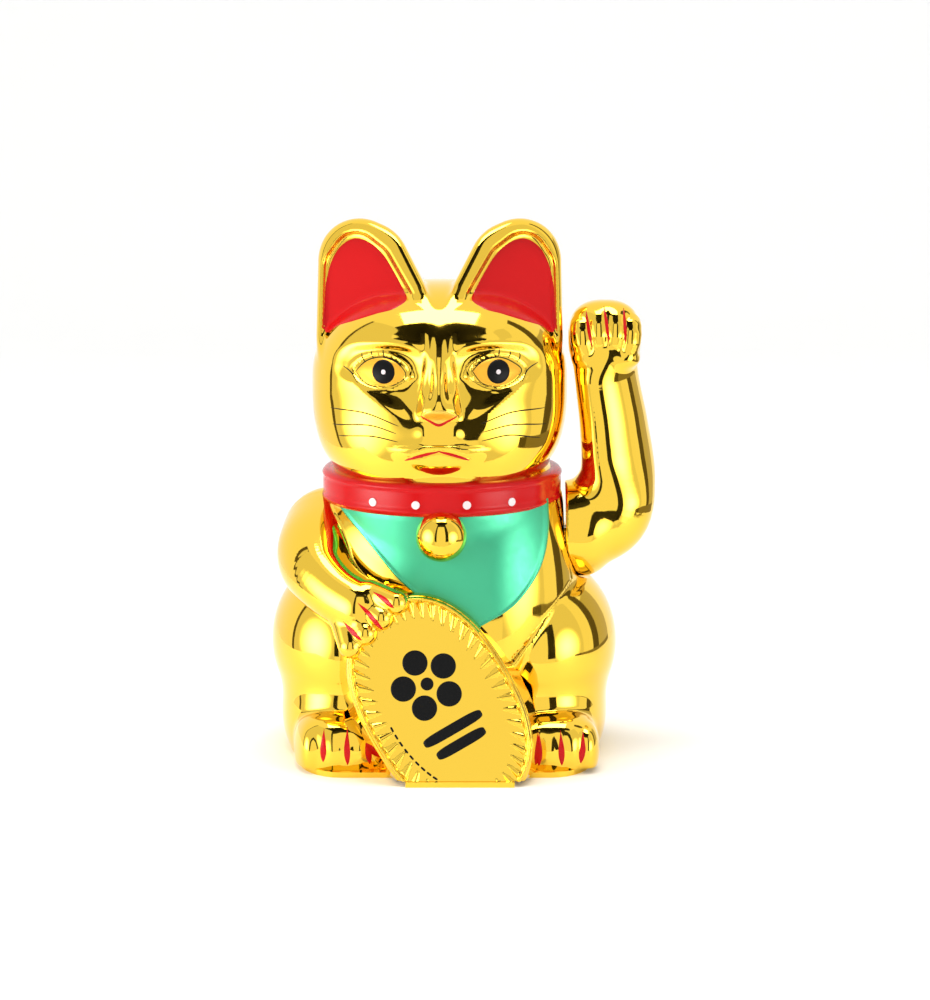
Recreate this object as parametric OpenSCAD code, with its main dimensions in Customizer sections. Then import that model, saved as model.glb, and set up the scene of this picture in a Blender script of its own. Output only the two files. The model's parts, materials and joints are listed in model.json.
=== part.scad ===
// Beckoning cat: a gold plated hollow figure that sits behind an oval coin.
// Its raised arm is a pendulum, kept swinging by a magnet over a coil.
// -Y is the front, +X is the side of the raised arm, +Z is up.
// The origin is on the table, under the middle of the base.

/* [Shell] */
// Thickness of the plated plastic wall
wall = 1.8; // [1.4:0.1:2.2]
// Distance of the front and rear shells' seam behind the middle
seam_y = 5; // [4.5:0.5:7]
// Thickness of the base plate
base_t = 2; // [1.8:0.1:2.4]
// Height that the collar and bib stand out of the surface
relief = 1.2; // [0.8:0.1:1.6]

/* [Swinging arm] */
// Height of the arm's pivot above the table
pivot_z = 83; // [82:0.5:84]
// Radius of the round root that turns in the shoulder
root_r = 17; // [16:0.5:17]
// Thickness of the arm's wall
arm_wall = 1.5; // [1.2:0.1:1.8]
// Gap between the arm's root and the shoulder
arm_gap = 0.6; // [0.5:0.1:0.8]
// Radius of the steel pivot pin
pin_r = 1; // [0.8:0.1:1.2]
// Radial clearance of the pin in the cradle's bores
pin_clearance = 0.05; // [0.02:0.01:0.1]

/* [Pendulum] */
// Distance of the pendulum from the middle plane
pendulum_x = 26; // [25:0.5:27]
// Radius of the magnet under the lever
magnet_r = 6; // [5:0.5:6.5]
// Height of the magnet
magnet_h = 5; // [4:0.5:5]
// Height of the counterweight
weight_h = 10; // [8:1:12]

/* [Battery] */
// Distance of the battery's axis from the middle plane
battery_x = -10; // [-12:0.5:-9]
// Radius of the AA cell
cell_r = 7.25; // [7:0.05:7.25]
// Length of the AA cell without its button
cell_len = 49.2; // [49:0.1:49.5]

/* [Hidden] */

gold = "gold";
far = 200;
shoulder_x = 45.8;
root_x = shoulder_x + arm_gap;
haunch_spots = [-34, 37];
collar_z = 94.5;
pocket_r = root_r + arm_gap + 0.3;

// Screws: radius of the shank, radius of the head, height of the head
screw_r = 1.2;
screw_head_r = 2.6;
screw_head_h = 1.4;
boss_r = 3.6;
boss_top = 14;
base_screw_spots = [[-44, -24], [45, -24], [-40, 28], [42, 28]];

// Cradle: two upright cheeks on a floor plate
cheek_t = 2.4;
cheek_gap = 21.6;
cradle_floor_t = 2.4;
cradle_len = 50;
cradle_tab = 6;
cradle_left = pendulum_x - cheek_gap / 2 - cheek_t;
cradle_right = pendulum_x + cheek_gap / 2 + cheek_t;
board_z = base_t + cradle_floor_t;
board_t = 1.6;
board_top = board_z + board_t;
board_w = cheek_gap - 1.6;
board_screw_y = 21;
coil_h = 9;
bobbin_r = 8.5;

// Pendulum, from the pin down
lever_t = 3;
lever_w = 6;
lever_foot_z = 22.5;
lever_foot_t = 1.5;
weight_z = 32;

// Battery bay
bay_wall = 1.6;
bay_w = 15.8;
bay_len = 57.8;
bay_top = 17.4;
cell_z = base_t + cell_r + 0.3;
cell_y = 2.2;
door_t = 1.6;
door_gap = 0.3;
door_w = bay_w + 2 * bay_wall - 0.6;
door_len = bay_len + 3.6;
door_hinge_y = door_len / 2 - 0.8;
door_hinge_z = door_t / 2;

// Turns the +Z axis of its children to +X
module along_x() {
    rotate([0, 90, 0]) children();
}

// Turns the +Z axis of its children to +Y
module along_y() {
    rotate([-90, 0, 0]) children();
}

// An egg-shaped swelling, made thinner all round by inset
module blob(centre, radii, inset = 0, facets = 40) {
    translate(centre)
        hull()
            scale([radii.x - inset, radii.y - inset, radii.z - inset])
                sphere(r = 1, $fn = facets);
}

// A limb that runs through balls given as [x, y, z, radius]
module limb(balls, inset = 0, facets = 26) {
    for (i = [0 : len(balls) - 2])
        hull()
            for (ball = [balls[i], balls[i + 1]])
                translate([ball.x, ball.y, ball.z])
                    sphere(r = ball[3] - inset, $fn = facets);
}

// Points of a rounded oval: a power of 2 is an ellipse, and more is squarer
function oval(half_x, half_y, power = 2, count = 48) = [
    for (i = [0 : count - 1])
        let (angle = 360 * i / count, c = cos(angle), s = sin(angle))
            [
                half_x * sign(c) * pow(abs(c), 2 / power),
                half_y * sign(s) * pow(abs(s), 2 / power)
            ]
];

// A round wire of the given radius along a list of points
function ring_at(points, i, r, sides) =
    let (
        before = points[max(i - 1, 0)],
        after = points[min(i + 1, len(points) - 1)],
        along = (after - before) / norm(after - before),
        helper = abs(along.z) < 0.9 ? [0, 0, 1] : [1, 0, 0],
        across = cross(along, helper) / norm(cross(along, helper)),
        up = cross(across, along)
    )
    [for (k = [0 : sides - 1]) points[i] + r * (cos(360 * k / sides) * across + sin(360 * k / sides) * up)];

module wire(points, r, sides = 8) {
    count = len(points);
    rings = [for (i = [0 : count - 1]) each ring_at(points, i, r, sides)];
    sides_of = [
        for (i = [0 : count - 2], k = [0 : sides - 1])
            let (a = i * sides + k, b = i * sides + (k + 1) % sides)
                [a, b, b + sides, a + sides]
    ];
    start_cap = [[for (k = [sides - 1 : -1 : 0]) k]];
    end_cap = [[for (k = [0 : sides - 1]) (count - 1) * sides + k]];
    polyhedron(points = rings, faces = concat(start_cap, sides_of, end_cap));
}

// Head: a broad skull with full cheeks and nape, and a short muzzle
module head(inset = 0, facets = 44) {
    hull() {
        blob([-0.4, -1, 140], [47, 40, 37], inset, facets);
        for (side = [-1, 1])
            blob([side * 22, -4, 121], [23, 34, 20], inset, facets);
        blob([0, 5, 121], [36, 34, 21], inset, facets);
    }
    blob([0, -26, 121], [17, 20, 12], inset, 28);
}

// One ear: a rounded arch with a hollow front
module ear(side) {
    difference() {
        hull() {
            blob([side * 30, 3, 185.2], [13.4, 7, 14], 0, 28);
            blob([side * 33.4, -3, 158], [12.2, 15, 14], 0, 28);
            blob([side * 16, -5, 164], [11, 15, 14], 0, 28);
        }
        hull() {
            blob([side * 30, -5, 184.4], [9.8, 8, 10], 0, 24);
            blob([side * 34.6, -20, 160], [8, 15, 9], 0, 24);
            blob([side * 18, -22, 166], [7, 15, 8], 0, 24);
        }
    }
}

// Neck: an upright oval column under the collar
module neck(inset = 0) {
    translate([0.8, -1, collar_z])
        scale([41.6 - inset, 40.6 - inset, 1])
            cylinder(h = 14 - inset, r = 1, $fn = 48);
}

// Middle of the body, which the bib lies on
module chest(inset = 0, facets = 44) {
    blob([0, 2, 52], [52, 43, 74], inset, facets);
}

module haunch(x, inset, facets) {
    blob([x, 3, 41], [29, 39, 33], inset, facets);
}

module hip(x, inset, facets) {
    blob([x, 0, 14], [26, 43, 26], inset, facets);
}

// Chest, haunches and hips
module torso(inset = 0, facets = 44) {
    chest(inset, facets);
    for (x = haunch_spots)
        hull() {
            haunch(x, inset, facets - 8);
            hip(x, inset, facets - 8);
        }
    hull()
        for (x = haunch_spots)
            hip(x, inset, facets - 8);
}

// Arm that holds the coin
module holding_arm(inset = 0) {
    limb([[-41, 3, 79, 19], [-42.5, -15, 72, 16.5], [-35, -36, 66, 12], [-25, -46, 61, 10.5]], inset);
}

// Feet, with the toes to the front
module feet(inset = 0, facets = 32) {
    blob([-37, -26, 9], [17.5, 24, 14.5], inset, facets);
    blob([40.5, -26, 9], [16.5, 24, 14.5], inset, facets);
}

// The round hollow that the arm's root turns in
module shoulder_pocket(grow = 0) {
    translate([shoulder_x - grow, 0, pivot_z])
        along_x()
            cylinder(h = far, r = pocket_r + grow, $fn = 64);
}

module figure_outside() {
    difference() {
        union() {
            head();
            ear(-1);
            ear(1);
            neck();
            torso();
            holding_arm();
            feet();
        }
        shoulder_pocket();
        translate([-far / 2, -far / 2, -far + base_t])
            cube(far);
    }
}

module figure_hollow() {
    difference() {
        union() {
            head(wall, 28);
            neck(wall);
            torso(wall, 28);
            feet(wall, 20);
        }
        shoulder_pocket(wall);
    }
}

module screw_boss(spot) {
    translate([spot.x, spot.y, base_t]) {
        difference() {
            cylinder(h = boss_top - base_t, r = boss_r, $fn = 24);
            translate([0, 0, -1])
                cylinder(h = boss_top - base_t - 1, r = screw_r + 0.1, $fn = 24);
        }
    }
}

// The whole hollow figure, before it is cut into two shells
module figure_wall() {
    difference() {
        figure_outside();
        figure_hollow();
        translate([shoulder_x - 5, 0, pivot_z])
            along_x()
                cylinder(h = 10, r = 3, $fn = 24);
    }
    intersection() {
        figure_outside();
        for (spot = base_screw_spots)
            screw_boss(spot);
    }
}

module front_half() {
    translate([-far / 2, seam_y - far, -1])
        cube([far, far, far + 20]);
}

module front_shell() {
    color(gold)
        intersection() {
            figure_wall();
            front_half();
        }
}

module rear_shell() {
    color(gold)
        difference() {
            figure_wall();
            front_half();
        }
}

// Collar: a rounded band round the neck, with shallow seats for its studs
module collar() {
    color("red")
        difference() {
            translate([0.8, -1, collar_z])
                hull() {
                    translate([0, 0, 2.5])
                        linear_extrude(7)
                            polygon(oval(42.6 + relief, 41.6 + relief, 2, 72));
                    linear_extrude(12)
                        polygon(oval(41.7 + relief, 40.7 + relief, 2, 72));
                }
            figure_outside();
            stud_row(0.05);
        }
}

// Studs on the collar's front
stud_angles = [-124, -102, -78, -55];

module stud_row(grow = 0) {
    for (angle = stud_angles)
        translate([0.8 + 43.3 * cos(angle), -1 + 42.3 * sin(angle), collar_z + 4.5])
            rotate([0, 0, angle])
                translate([-grow, 0, 0])
                    along_x()
                        cylinder(h = 1.1, r = 1.5 + grow, $fn = 24);
}

module collar_studs() {
    color("white")
        stud_row();
}

// Outline of the bib, seen from the front, as [x, z]
bib_outline = [[-38, 97], [-12, 68], [14, 54.5], [24, 59], [32, 67], [37, 77], [39, 97]];

module bib() {
    color("mediumseagreen")
        difference() {
            intersection() {
                chest(-relief);
                rotate([90, 0, 0])
                    linear_extrude(far)
                        polygon(bib_outline);
                translate([-far / 2, -far, 0])
                    cube([far, far - 12, collar_z - 0.1]);
            }
            figure_outside();
            bell_ball(0.1);
        }
}

// Bell under the collar, moulded as a ball that sinks into the chest
module bell_ball(grow = 0) {
    translate([0.8, -43, 87.6])
        sphere(r = 9.2 + grow, $fn = 36);
}

module bell() {
    color(gold)
        difference() {
            bell_ball();
            figure_outside();
            translate([-far / 2, -far / 2, collar_z - 0.1])
                cube(far);
        }
}

// Coin: an oval plaque that leans back on the belly, long axis to the upper left
coin_centre = [0.2, -56.5, 28.5];
coin_lean = 13;
coin_turn = 30;
coin_half_long = 41;
coin_half_wide = 27.2;
coin_depth = 16;
coin_rim = 6.5;
coin_rib_count = 44;

// Outline of the coin, made larger all round by grow
module coin_outline(grow = 0) {
    polygon(oval(coin_half_wide + grow, coin_half_long + grow, 2.4, 60));
}

// Short ribs that point at the middle, all round the rim
module coin_ribs() {
    for (i = [0 : coin_rib_count - 1])
        let (spot = oval(coin_half_wide - coin_rim, coin_half_long - coin_rim, 2.4, coin_rib_count)[i])
            translate([spot.x, spot.y, -0.6])
                rotate([0, 0, atan2(spot.y, spot.x)])
                    translate([0, -0.5, 0])
                        cube([3.6, 1, 0.6]);
}

// Plum blossom on a raised panel, in place of writing
module coin_emblem() {
    translate([0, 0, -1.2]) {
        linear_extrude(0.5)
            polygon(oval(14, 27, 3, 40));
        for (petal = [0 : 4])
            rotate([0, 0, 72 * petal])
                translate([0, 6, 0])
                    cylinder(h = 1.1, r = 3.4, $fn = 24);
        for (bar = [-1, 1])
            translate([-8, 17 * bar - 1.5, 0])
                cube([16, 3, 1.1]);
    }
}

module coin_body() {
    difference() {
        hull() {
            translate([0, 0, -0.1])
                linear_extrude(0.1)
                    coin_outline();
            translate([0, 0, -coin_depth])
                linear_extrude(0.1)
                    coin_outline(3);
        }
        translate([0, 0, -1.2])
            linear_extrude(2)
                coin_outline(-2.4);
    }
    translate([0, 0, -1.2])
        coin_ribs();
    coin_emblem();
}

module koban() {
    color(gold)
        difference() {
            translate(coin_centre)
                rotate([90 - coin_lean, 0, 0])
                    rotate([0, 0, coin_turn])
                        coin_body();
            figure_outside();
            chest(-relief - 0.1);
            translate([-far / 2, -far / 2, -far + base_t])
                cube(far);
            translate([-far / 2, -36, 0])
                cube(far);
        }
}

// Base plate: flat flange, battery bay and screw holes
module base_outline() {
    hull() {
        translate([1.5, 2])
            polygon(oval(58, 41, 2.3, 64));
        translate([-35.5, -26])
            polygon(oval(16, 23.5, 2, 32));
        translate([40, -26])
            polygon(oval(16, 23.5, 2, 32));
    }
    translate([-12, -63])
        square([39, 30]);
}

module base_plate() {
    color("goldenrod")
        difference() {
            union() {
                linear_extrude(base_t)
                    base_outline();
                translate([battery_x - bay_w / 2 - bay_wall, -bay_len / 2 - bay_wall, base_t - 0.5])
                    cube([bay_w + 2 * bay_wall, bay_len + 2 * bay_wall, bay_top + bay_wall - base_t + 0.5]);
            }
            translate([battery_x - bay_w / 2, -bay_len / 2, -1])
                cube([bay_w, bay_len, bay_top + 1]);
            translate([battery_x - door_w / 2 - door_gap, -door_len / 2 - door_gap, -1])
                cube([door_w + 2 * door_gap, door_len + 2 * door_gap, 1 + door_t + 0.1]);
            for (spot = base_screw_spots)
                translate([spot.x, spot.y, -1]) {
                    cylinder(h = base_t + 2, r = screw_r, $fn = 24);
                    cylinder(h = 1 + screw_head_h, r = screw_head_r + 0.2, $fn = 24);
                }
            for (x = [cradle_left - cradle_tab / 2, cradle_right + cradle_tab / 2])
                translate([x, 0, 0.3])
                    cylinder(h = base_t, r = screw_r, $fn = 24);
        }
}

// A screw whose head rests at z = 0 and whose shank points up
module screw(length) {
    difference() {
        union() {
            translate([0, 0, -screw_head_h])
                cylinder(h = screw_head_h, r = screw_head_r, $fn = 24);
            cylinder(h = length, r = screw_r, $fn = 24);
        }
        for (turn = [0, 90])
            rotate([0, 0, turn])
                translate([-1.6, -0.3, -screw_head_h - 1])
                    cube([3.2, 0.6, 1.7]);
    }
}

module base_screws() {
    color("silver")
        for (spot = base_screw_spots)
            translate([spot.x, spot.y, screw_head_h])
                screw(8);
}

// Cradle: the frame that carries the pin in two bores
module cheek() {
    rotate([90, 0, 90])
        linear_extrude(cheek_t)
            polygon([[-14, 0], [14, 0], [4.5, pivot_z - base_t - 6], [4.5, pivot_z - base_t + 4.5],
                [-4.5, pivot_z - base_t + 4.5], [-4.5, pivot_z - base_t - 6]]);
}

module pivot_cradle() {
    color("whitesmoke")
        translate([0, 0, base_t])
            difference() {
                union() {
                    translate([cradle_left, -cradle_len / 2, 0])
                        cube([cradle_right - cradle_left, cradle_len, cradle_floor_t]);
                    translate([cradle_left - cradle_tab, -5, 0])
                        cube([cradle_right - cradle_left + 2 * cradle_tab, 10, cradle_floor_t]);
                    translate([cradle_left, 0, 0])
                        cheek();
                    translate([cradle_right - cheek_t, 0, 0])
                        cheek();
                }
                translate([cradle_left - 1, 0, pivot_z - base_t])
                    along_x()
                        cylinder(h = cradle_right - cradle_left + 2, r = pin_r + pin_clearance, $fn = 32);
                for (x = [cradle_left - cradle_tab / 2, cradle_right + cradle_tab / 2])
                    translate([x, 0, -1])
                        cylinder(h = cradle_floor_t + 2, r = screw_r, $fn = 24);
                for (y = [-board_screw_y, board_screw_y])
                    translate([pendulum_x, y, -1])
                        cylinder(h = cradle_floor_t + 2, r = 0.8, $fn = 24);
            }
}

module cradle_screws() {
    color("silver")
        for (x = [cradle_left - cradle_tab / 2, cradle_right + cradle_tab / 2])
            translate([x, 0, board_z])
                mirror([0, 0, 1])
                    screw(3.9);
}

// Circuit board with its parts
module circuit_board() {
    color("darkgreen")
        difference() {
            translate([pendulum_x - board_w / 2, -cradle_len / 2 + 1, board_z])
                cube([board_w, cradle_len - 2, board_t]);
            for (y = [-board_screw_y, board_screw_y])
                translate([pendulum_x, y, board_z - 1])
                    cylinder(h = board_t + 2, r = 0.8, $fn = 24);
        }
}

module board_screws() {
    color("silver")
        for (y = [-board_screw_y, board_screw_y])
            translate([pendulum_x, y, board_z - 1.6]) {
                cylinder(h = board_t + 1.6, r = 0.8, $fn = 24);
                translate([0, 0, board_t + 1.6])
                    cylinder(h = 1, r = 1.6, $fn = 24);
            }
}

module coil_bobbin() {
    color("white")
        translate([pendulum_x, 0, board_top])
            rotate_extrude($fn = 48)
                polygon([[2, 0], [bobbin_r, 0], [bobbin_r, 0.8], [3, 0.8], [3, coil_h - 0.8],
                    [bobbin_r, coil_h - 0.8], [bobbin_r, coil_h], [2, coil_h]]);
}

module coil_winding() {
    color("chocolate")
        translate([pendulum_x, 0, board_top + 0.8])
            rotate_extrude($fn = 48)
                translate([3, 0])
                    square([bobbin_r - 3.4, coil_h - 1.6]);
}

module transistor() {
    color("black")
        translate([pendulum_x - 3.5, -14, board_top])
            difference() {
                cylinder(h = 4.6, r = 2.3, $fn = 32);
                translate([-3, -4.3, -1])
                    cube([6, 3, 7]);
            }
}

module capacitor() {
    color("royalblue")
        translate([pendulum_x + 3, 14.5, board_top])
            rotate_extrude($fn = 32)
                polygon([[0, 0], [2.5, 0], [2.5, 6.4], [2.1, 7], [0, 7]]);
}

// Battery with its contacts and leads
module battery_cell() {
    color("dimgray")
        translate([battery_x, cell_y - cell_len / 2, cell_z])
            along_y()
                rotate_extrude($fn = 48)
                    polygon([[0, 0], [cell_r - 0.5, 0], [cell_r, 0.5], [cell_r, cell_len - 0.5],
                        [cell_r - 0.5, cell_len], [2.75, cell_len], [2.75, cell_len + 1.1], [0, cell_len + 1.1]]);
}

spring_turns = 3.5;
spring_steps = 56;
spring_start = -bay_len / 2 + 0.4;
spring_end = cell_y - cell_len / 2 - 0.4;

// The spring narrows from the bay's end wall towards the cell
spring_path = [
    for (i = [0 : spring_steps])
        let (t = i / spring_steps, angle = 360 * spring_turns * t, r = 5 - 2.2 * t)
            [
                battery_x + r * cos(angle),
                spring_start + (spring_end - spring_start) * t,
                cell_z + r * sin(angle)
            ]
];

module contact_spring() {
    color("silver")
        wire(spring_path, 0.35, 6);
}

module contact_plate() {
    color("silver")
        translate([battery_x - 5, bay_len / 2 - 0.5, cell_z - 5])
            cube([10, 0.4, 10]);
}

// Leads run from the bay's ends over its top to the board
red_path = [
    [-9, 31.5, 14], [-9, 31.8, 18], [-8, 30, 21], [-3, 27, 21.4], [1, 26, 20.4],
    [4, 25, 12], [9, 22.5, 7.4], [15, 20, 7.6], [18.4, 17, 8], [19.6, 15.6, 6.8]
];
black_path = [
    [-9, -31.5, 14], [-9, -31.8, 18], [-8, -30, 21], [-3, -27, 21.4], [1, -26, 20.4],
    [4, -25, 12], [9, -22.5, 7.4], [15, -20, 7.6], [18.4, -19, 8], [19.6, -18.4, 6.8]
];

module red_lead() {
    color("firebrick")
        wire(red_path, 0.6);
}

module black_lead() {
    color("black")
        wire(black_path, 0.6);
}

// Raised arm: root, elbow, forearm and wrist as balls [x, y, z, radius]
forearm = [
    [56, 0, pivot_z + 0.5, 16.6], [62, 0, 88, 16.4], [66, -0.5, 101, 14.8], [64.7, -1.5, 120, 13.4],
    [61.8, -3, 138, 12.5], [60.4, -4, 149, 12.3]
];

module paw(inset = 0) {
    blob([60.2, -5, 155.5], [13.8, 13, 12.4], inset, 26);
    for (finger = [-1.5 : 1 : 1.5])
        limb(
            [
                [60.2 + 6.3 * finger, -4, 161.6 - 0.7 * abs(finger), 4.4],
                [60.2 + 6.3 * finger, -12.5, 159.4 - 0.7 * abs(finger), 4]
            ],
            inset, 14
        );
}

module arm_solid(inset = 0) {
    translate([root_x + inset, 0, pivot_z])
        along_x()
            cylinder(h = 12 - inset, r = root_r - inset, $fn = 48);
    intersection() {
        limb(forearm, inset);
        translate([root_x + inset, -far / 2, 0])
            cube(far);
    }
    paw(inset);
}

// The two halves' saddles hold the pin along the root
module arm_wall_solid() {
    difference() {
        union() {
            difference() {
                arm_solid();
                arm_solid(arm_wall);
            }
            translate([root_x, 0, pivot_z])
                along_x()
                    cylinder(h = 14, r = 4, $fn = 24);
        }
        translate([root_x - 1, 0, pivot_z])
            along_x()
                cylinder(h = 16, r = pin_r + 0.03, $fn = 24);
    }
}

module arm_front_half() {
    color(gold)
        intersection() {
            arm_wall_solid();
            translate([0, -far, 0])
                cube(far);
        }
}

module arm_rear_half() {
    color(gold)
        intersection() {
            arm_wall_solid();
            cube(far);
        }
}

module pivot_pin() {
    color("silver")
        translate([cradle_left - 2, 0, pivot_z])
            along_x()
                cylinder(h = root_x + 14 - cradle_left + 2, r = pin_r, $fn = 32);
}

// Push-on ring that keeps the pin from sliding out of the cradle
module pin_retainer() {
    color("silver")
        translate([cradle_left - 0.9, 0, pivot_z])
            along_x()
                difference() {
                    cylinder(h = 0.6, r = 3, $fn = 32);
                    translate([0, 0, -1])
                        cylinder(h = 3, r = pin_r, $fn = 32);
                }
}

module pendulum_lever() {
    color("white")
        difference() {
            union() {
                translate([pendulum_x - lever_t / 2, -lever_w / 2, lever_foot_z])
                    cube([lever_t, lever_w, pivot_z - lever_foot_z]);
                translate([pendulum_x - lever_t, 0, pivot_z])
                    along_x()
                        cylinder(h = 2 * lever_t, r = 4, $fn = 32);
                translate([pendulum_x, 0, lever_foot_z])
                    cylinder(h = lever_foot_t, r = magnet_r, $fn = 48);
            }
            translate([pendulum_x - 10, 0, pivot_z])
                along_x()
                    cylinder(h = 20, r = pin_r, $fn = 32);
        }
}

// The counterweight sits behind the lever, to balance the paw that leans forward
weight_y = 1.5;

module counterweight() {
    color("slategray")
        difference() {
            translate([pendulum_x - 7, weight_y - 7.5, weight_z])
                cube([14, 15, weight_h]);
            translate([pendulum_x - lever_t / 2, -lever_w / 2, weight_z - 1])
                cube([lever_t, lever_w, weight_h + 2]);
        }
}

module magnet() {
    color("darkgray")
        translate([pendulum_x, 0, lever_foot_z - magnet_h])
            cylinder(h = magnet_h, r = magnet_r, $fn = 48);
}

// Battery door: flush with the base, turning about its rounded rear edge
module battery_door() {
    color("goldenrod")
        difference() {
            union() {
                translate([battery_x - door_w / 2, -door_len / 2, 0])
                    cube([door_w, door_len / 2 + door_hinge_y, door_t]);
                translate([battery_x - door_w / 2, door_hinge_y, door_hinge_z])
                    along_x()
                        cylinder(h = door_w, r = door_t / 2, $fn = 32);
            }
            for (groove = [0 : 2])
                translate([battery_x - 4, -door_len / 2 + 2 + 1.6 * groove, -1])
                    cube([8, 0.8, 1.5]);
        }
}

front_shell();
rear_shell();
collar();
collar_studs();
bib();
bell();
koban();
base_plate();
base_screws();
pivot_cradle();
cradle_screws();
circuit_board();
board_screws();
coil_bobbin();
coil_winding();
transistor();
capacitor();
battery_cell();
contact_spring();
contact_plate();
red_lead();
black_lead();
arm_front_half();
arm_rear_half();
pivot_pin();
pin_retainer();
pendulum_lever();
counterweight();
magnet();
battery_door();
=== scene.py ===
"""Beckoning cat: the plated skin, paint, studio and camera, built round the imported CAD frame."""
import json
import math

import bpy
import numpy as np
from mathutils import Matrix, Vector


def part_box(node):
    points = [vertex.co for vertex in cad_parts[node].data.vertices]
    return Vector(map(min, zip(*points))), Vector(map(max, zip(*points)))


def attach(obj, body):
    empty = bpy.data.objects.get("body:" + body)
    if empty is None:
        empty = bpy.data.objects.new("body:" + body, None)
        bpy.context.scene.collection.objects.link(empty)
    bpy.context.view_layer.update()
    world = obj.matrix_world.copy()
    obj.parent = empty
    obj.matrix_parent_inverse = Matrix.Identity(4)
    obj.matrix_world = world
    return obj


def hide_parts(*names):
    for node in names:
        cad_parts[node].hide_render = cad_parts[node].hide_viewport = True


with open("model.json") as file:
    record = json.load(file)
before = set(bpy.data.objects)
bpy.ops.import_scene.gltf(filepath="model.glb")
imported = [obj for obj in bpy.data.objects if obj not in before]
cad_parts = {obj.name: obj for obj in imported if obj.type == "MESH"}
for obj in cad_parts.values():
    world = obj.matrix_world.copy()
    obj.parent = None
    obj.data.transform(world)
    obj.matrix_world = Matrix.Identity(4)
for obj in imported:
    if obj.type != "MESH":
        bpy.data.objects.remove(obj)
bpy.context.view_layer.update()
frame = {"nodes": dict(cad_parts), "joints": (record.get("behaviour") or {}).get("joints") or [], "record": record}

# Drawing units are millimetres on a figure this tall; UNIT turns them into the frame's metres.
DRAWN_HEIGHT = 199.1
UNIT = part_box("front_shell")[1][2] / DRAWN_HEIGHT
FIGURE = "figure"
ARM = "waving_arm"


def place(node):
    """A CAD node's lowest and highest corners, in drawing units."""
    low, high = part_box(node)
    return np.array(low) / UNIT, np.array(high) / UNIT


BASE_TOP = place("front_shell")[0][2]
SEAM_Y = place("front_shell")[1][1]
PIVOT = np.array(next(j["pos_m"] for j in frame["joints"] if j["name"] == "arm_swing")) / UNIT
ROOT_X = place("arm_front_half")[0][0]
HEAD_X = 0.0

# The raised arm's round root turns in a pocket in the shoulder.
ROOT_RADIUS = 17
POCKET_RADIUS = 18.6
POCKET_GAP = 0.6


# ---------------------------------------------------------------- fields
# A field is a function of points, an (n, 3) array. It is negative inside a shape, and near the
# surface it is about the distance to it.

def ellipsoid(points, centre, radii, power=2.0):
    """An ellipsoid, or with a power over 2 a squarer one."""
    scaled = np.abs((points - centre) / radii)
    if power == 2.0:
        near = np.sqrt((scaled ** 2).sum(1))
        slope = np.sqrt(((scaled / radii) ** 2).sum(1))
        return near * (near - 1) / np.maximum(slope, 1e-6)
    level = (scaled ** power).sum(1) ** (1 / power)
    level = np.maximum(level, 1e-6)
    slope = np.sqrt((((scaled / level[:, None]) ** (power - 1) / radii) ** 2).sum(1))
    return (level - 1) / np.maximum(slope, 1e-6)


def rod(points, start, end, start_radius, end_radius):
    """A round rod from start to end whose radius changes along it."""
    start = np.asarray(start, float)
    along = np.asarray(end, float) - start
    offset = points - start
    share = np.clip(offset @ along / (along @ along), 0, 1)
    gap = offset - share[:, None] * along
    return np.sqrt((gap ** 2).sum(1)) - (start_radius + (end_radius - start_radius) * share)


def join(a, b, soft):
    """The union of two fields, with a fillet about as wide as soft."""
    share = np.clip(0.5 + 0.5 * (b - a) / soft, 0, 1)
    return b + (a - b) * share - soft * share * (1 - share)


def overlap(a, b, soft):
    """The part that two fields share, with a rounded edge."""
    return -join(-a, -b, soft)


def carve(a, b, soft):
    """Field a with b taken out of it."""
    return -join(-a, b, soft)


def curve_through(corners, share):
    """Points at the given shares along a smooth curve through the corners."""
    corners = np.array(corners, float)
    spans = np.linalg.norm(np.diff(corners, axis=0), axis=1)
    along = np.concatenate([[0], np.cumsum(spans)]) / spans.sum()
    slope = np.gradient(corners, along, axis=0)
    index = np.clip(np.searchsorted(along, share, "right") - 1, 0, len(corners) - 2)
    width = (along[index + 1] - along[index])[:, None]
    t = (share - along[index])[:, None] / width
    return (
        (2 * t ** 3 - 3 * t ** 2 + 1) * corners[index]
        + (t ** 3 - 2 * t ** 2 + t) * width * slope[index]
        + (-2 * t ** 3 + 3 * t ** 2) * corners[index + 1]
        + (t ** 3 - t ** 2) * width * slope[index + 1]
    )


def limb(points, balls, soft=1.5, spans=12):
    """A smooth limb through balls given as (x, y, z, radius)."""
    curve = curve_through(balls, np.linspace(0, 1, spans + 1))
    shape = None
    for first, last in zip(curve, curve[1:]):
        piece = rod(points, first[:3], last[:3], first[3], last[3])
        shape = piece if shape is None else join(shape, piece, soft)
    return shape


def ramp(value, low, high):
    """Rises smoothly from 0 at low to 1 at high."""
    share = np.clip((value - low) / (high - low), 0, 1)
    return share * share * (3 - 2 * share)


def hump(value, middle, width):
    """1 at the middle, falling away to nothing about two widths from it."""
    return np.exp(-((value - middle) / width) ** 2)


def oval_reach(x, z, middle, half, power=2.0):
    """1 on an oval's edge, less inside it and more outside."""
    across = np.abs((x - middle[0]) / half[0])
    up = np.abs((z - middle[1]) / half[1])
    return (across ** power + up ** power + 1e-9) ** (1 / power)


def polygon_distance(x, z, corners):
    """Signed distance to a convex polygon whose corners run anticlockwise."""
    nearest = np.full(len(x), np.inf)
    side = np.full(len(x), -np.inf)
    for (ax, az), (bx, bz) in zip(corners, corners[1:] + corners[:1]):
        ex, ez = bx - ax, bz - az
        length = math.hypot(ex, ez)
        share = np.clip(((x - ax) * ex + (z - az) * ez) / length ** 2, 0, 1)
        nearest = np.minimum(nearest, np.hypot(x - ax - share * ex, z - az - share * ez))
        side = np.maximum(side, ((x - ax) * ez - (z - az) * ex) / length)
    return np.where(side > 0, nearest, np.maximum(side, -nearest))


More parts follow.
